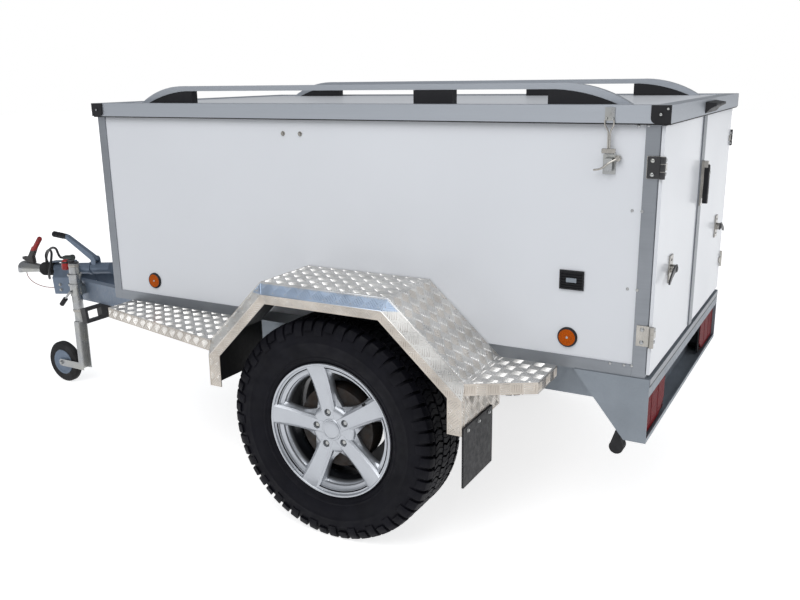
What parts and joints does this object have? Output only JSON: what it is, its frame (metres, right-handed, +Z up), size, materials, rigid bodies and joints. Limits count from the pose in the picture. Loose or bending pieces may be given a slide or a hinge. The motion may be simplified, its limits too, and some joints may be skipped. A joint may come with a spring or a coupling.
{
  "type": "box trailer",
  "caption": "Braked off-road box trailer with white panel body, hinged lid with roof rails, rear doors, tread-plate fenders, alloy wheels and a jockey wheel.",
  "frame": {"origin": "on the ground below the centre of the whole trailer's box", "axes": "+X forward to the coupling, +Y to the left, +Z up"},
  "size_m": [3.385, 1.68, 1.4002],
  "materials": {
    "white_panel": "white coated sandwich panel",
    "anodised": "satin anodised profile",
    "galvanised": "hot-dip galvanised",
    "tread_plate": "bright five-bar tread plate",
    "black_plastic": "fine grain",
    "rubber": "matt",
    "tyre": "matt",
    "alloy": "silver lacquer",
    "red_lens": "moulded lens",
    "amber_lens": "moulded reflector",
    "red_grip": "moulded grip",
    "zinc": "bright zinc plate",
    "black_steel": "black coated steel",
    "plywood": "brown film-faced plywood",
    "cast_iron": "raw casting",
    "stainless": "stainless steel",
    "cable": "sheath",
    "red_cable": "coated wire rope"
  },
  "bodies": {
    "root": {"axle": "galvanised", "base_rails": "anodised", "bellows": "rubber", "breakaway_cable": "red_cable", "chassis_rails": "galvanised", "corner_posts": "anodised", "coupling_handle": "red_grip", "coupling_head": "zinc", "cross_members": "galvanised", "drawbar_legs": "galvanised", "fender_left": "tread_plate", "fender_right": "tread_plate", "fixed_hinge_leaves": "stainless", "floor_panel": "plywood", "front_wall": "white_panel", "jockey_clamp": "zinc", "jockey_crank": "black_steel", "jockey_tube": "zinc", "latch_bodies": "zinc", "mud_flaps": "black_plastic", "overrun_housing": "galvanised", "power_cable": "cable", "power_plug": "black_plastic", "rear_steps": "tread_plate", "running_boards": "tread_plate", "side_plates": "galvanised", "side_reflectors": "amber_lens", "side_vents": "black_plastic", "side_wall_left": "white_panel", "side_wall_right": "white_panel", "support_bar": "black_steel", "tail_beam": "galvanised", "tail_buffers": "rubber", "tail_lamps": "red_lens"},
    "wheel_left": {"tyre_left": "tyre", "wheel_left": "alloy", "brake_drum_left": "cast_iron"},
    "wheel_right": {"tyre_right": "tyre", "wheel_right": "alloy", "brake_drum_right": "cast_iron"},
    "lid": {"lid_frame": "anodised", "lid_panel": "white_panel", "lid_caps": "black_plastic", "lid_handle": "black_plastic", "lid_hinge_leaves": "stainless", "roof_rails": "anodised", "rail_feet": "black_plastic", "latch_hooks": "zinc"},
    "door_left": {"door_left": "white_panel", "hinge_leaves_left": "stainless", "door_catch_left": "stainless"},
    "door_right": {"door_right": "white_panel", "hinge_leaves_right": "stainless", "door_latches_right": "stainless", "astragal": "anodised"},
    "jockey_slide": {"jockey_slide": "zinc"},
    "jockey_fork": {"jockey_fork": "zinc"},
    "jockey_wheel": {"jockey_rim": "zinc", "jockey_tyre": "rubber"},
    "handbrake": {"handbrake_lever": "zinc"}
  },
  "joints": [
    {"name": "wheel_left_spin", "type": "hinge", "parent": "root", "child": "wheel_left", "pos_m": [-0.7385, 0.698, 0.361], "axis": [0, 1, 0], "continuous": true},
    {"name": "wheel_right_spin", "type": "hinge", "parent": "root", "child": "wheel_right", "pos_m": [-0.7385, -0.698, 0.361], "axis": [0, 1, 0], "continuous": true},
    {"name": "lid_hinge", "type": "hinge", "parent": "root", "child": "lid", "pos_m": [0.4045, 0, 1.298], "axis": [0, 1, 0], "range_deg": [0, 70]},
    {"name": "door_left_hinge", "type": "hinge", "parent": "root", "child": "door_left", "pos_m": [-1.6478, 0.5693, 0.958], "axis": [0, 0, -1], "range_deg": [0, 180]},
    {"name": "door_right_hinge", "type": "hinge", "parent": "root", "child": "door_right", "pos_m": [-1.6478, -0.5693, 0.958], "axis": [0, 0, 1], "range_deg": [0, 180]},
    {"name": "jockey_lift", "type": "slide", "parent": "root", "child": "jockey_slide", "axis": [0, 0, 1], "range_m": [-0.15, 0.04]},
    {"name": "jockey_swivel", "type": "hinge", "parent": "jockey_slide", "child": "jockey_fork", "pos_m": [1.0835, 0.17, 0.322], "axis": [0, 0, 1], "continuous": true},
    {"name": "jockey_wheel_spin", "type": "hinge", "parent": "jockey_fork", "child": "jockey_wheel", "pos_m": [1.2155, 0.17, 0.1], "axis": [0, 1, 0], "continuous": true},
    {"name": "handbrake_pull", "type": "hinge", "parent": "root", "child": "handbrake", "pos_m": [1.12878, 0, 0.58316], "axis": [0, -1, 0], "range_deg": [0, 60]}
  ]
}
